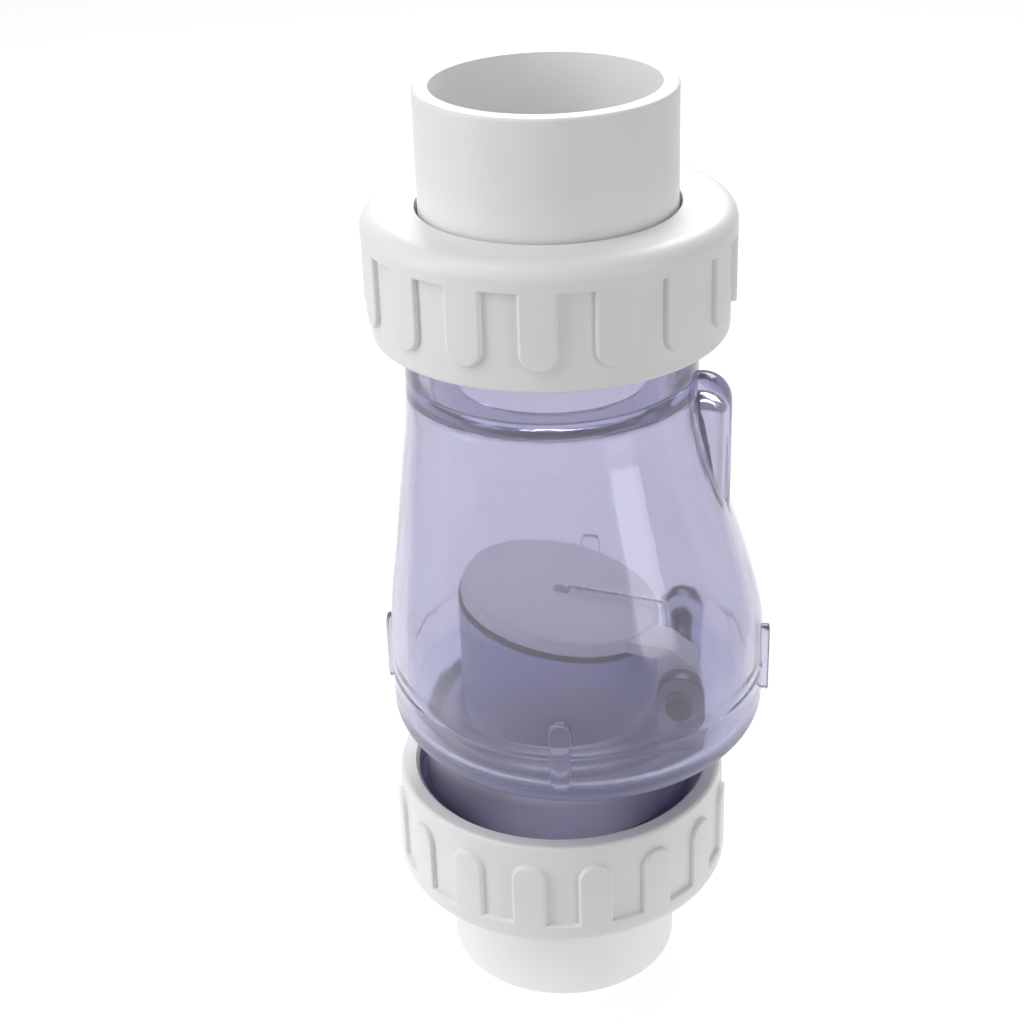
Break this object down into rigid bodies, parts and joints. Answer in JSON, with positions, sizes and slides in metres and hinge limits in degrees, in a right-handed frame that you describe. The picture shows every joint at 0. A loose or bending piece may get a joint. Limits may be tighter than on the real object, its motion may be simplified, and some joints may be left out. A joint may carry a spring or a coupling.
{
  "type": "check valve",
  "caption": "Clear-bodied swing check valve: sprung flap on a tilted seat in a bulged chamber, with a white threaded union and solvent-weld socket at each end.",
  "frame": {"origin": "centre of the inlet socket's mouth, on the flow axis", "axes": "+Z in the direction of flow, from inlet to outlet; +X towards the side of the flap's hinge; Y along the hinge pin"},
  "size_m": [0.1176, 0.1176, 0.2842],
  "materials": {
    "white_pvc": "smooth satin white PVC",
    "clear_pvc": "clear PVC with a violet tint",
    "flap_plastic": "light grey moulded plastic",
    "seal_rubber": "dark smooth rubber",
    "plug_rubber": "slate grey rubber",
    "sleeve_plastic": "pale smooth plastic",
    "steel": "drawn stainless steel"
  },
  "bodies": {
    "body": {"body_shell": "clear_pvc", "body_base": "clear_pvc", "o_ring_outlet": "seal_rubber", "o_ring_inlet": "seal_rubber", "hinge_pin": "steel", "pin_plug_front": "plug_rubber", "pin_plug_rear": "plug_rubber", "pin_sleeve": "sleeve_plastic", "closing_spring": "steel"},
    "flap": {"flap": "flap_plastic", "flap_gasket": "seal_rubber", "gasket_retainer": "flap_plastic", "retainer_screw": "steel"},
    "outlet_tail": {"tail_outlet": "white_pvc"},
    "outlet_nut": {"union_nut_outlet": "white_pvc"},
    "inlet_tail": {"tail_inlet": "white_pvc"},
    "inlet_nut": {"union_nut_inlet": "white_pvc"}
  },
  "joints": [
    {"name": "flap_hinge", "type": "hinge", "parent": "body", "child": "flap", "pos_m": [0.0376, 0, 0.1053], "axis": [0, 1, 0], "range_deg": [0, 60], "stiffness_Nm_per_rad": 0.02, "springref_deg": -34.38, "deforming": ["closing_spring"]},
    {"name": "outlet_union", "type": "slide", "parent": "body", "child": "outlet_tail", "axis": [0, 0, 1], "range_m": [0, 0.024]},
    {"name": "outlet_nut_turn", "type": "hinge", "parent": "outlet_tail", "child": "outlet_nut", "pos_m": [0, 0, 0.2335], "axis": [0, 0, 1], "range_deg": [0, 1440]},
    {"name": "inlet_union", "type": "slide", "parent": "body", "child": "inlet_tail", "axis": [0, 0, -1], "range_m": [0, 0.024]},
    {"name": "inlet_nut_turn", "type": "hinge", "parent": "inlet_tail", "child": "inlet_nut", "pos_m": [0, 0, 0.0507], "axis": [0, 0, -1], "range_deg": [0, 1440]}
  ],
  "couplings": [
    {"joint": "outlet_union", "follows": "outlet_nut_turn", "m_per_rad": 0.00095493},
    {"joint": "inlet_union", "follows": "inlet_nut_turn", "m_per_rad": 0.00095493}
  ]
}
